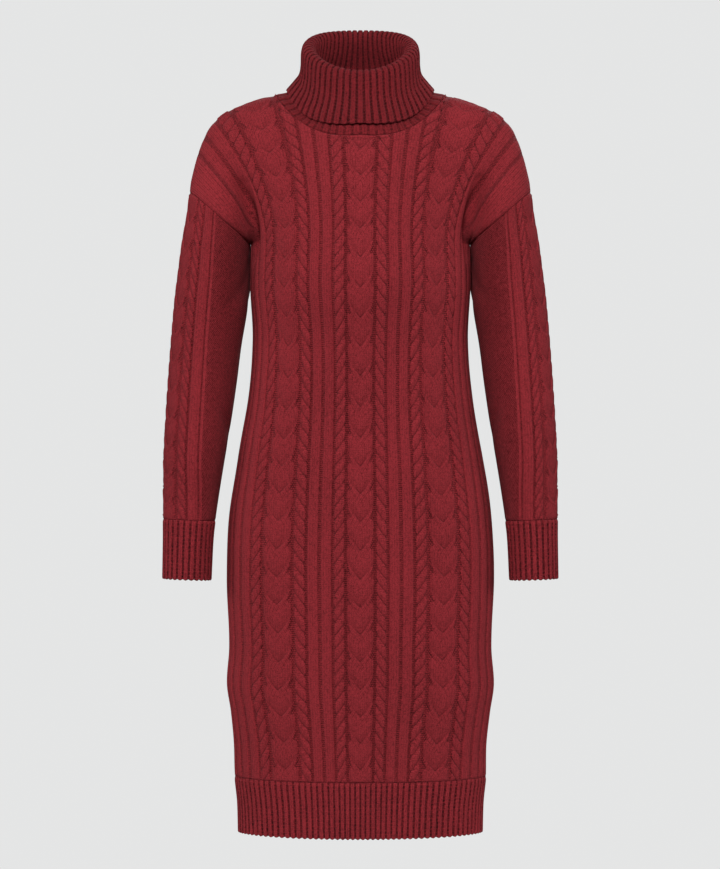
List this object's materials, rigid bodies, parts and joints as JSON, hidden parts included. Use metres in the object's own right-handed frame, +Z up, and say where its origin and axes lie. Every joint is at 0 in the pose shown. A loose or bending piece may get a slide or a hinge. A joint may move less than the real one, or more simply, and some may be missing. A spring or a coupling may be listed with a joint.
{
  "type": "sweater dress",
  "caption": "Knee-length cable-knit sweater dress with a folded roll collar, dropped shoulders, long sleeves, ribbed cuffs and hem, and side vents, filled out as when worn.",
  "frame": {"origin": "middle of the neckline, level with the shoulder points beside the neck, where the wearer's shoulders hold the dress up", "axes": "+Z up, +X towards the wearer's left, -Y towards the front"},
  "size_m": [0.5358, 0.2377, 1.0985],
  "materials": {
    "cable_knit": "matt wool-blend yarn in a deep red, knitted in cables and ribs",
    "rib_knit": "matt wool-blend yarn in a deep red, knitted in ribs"
  },
  "bodies": {
    "root": {"front_panel": "cable_knit", "back_panel": "cable_knit", "left_sleeve": "cable_knit", "right_sleeve": "cable_knit", "front_hem_band": "rib_knit", "back_hem_band": "rib_knit", "left_cuff": "rib_knit", "right_cuff": "rib_knit", "roll_collar": "rib_knit"}
  },
  "joints": []
}
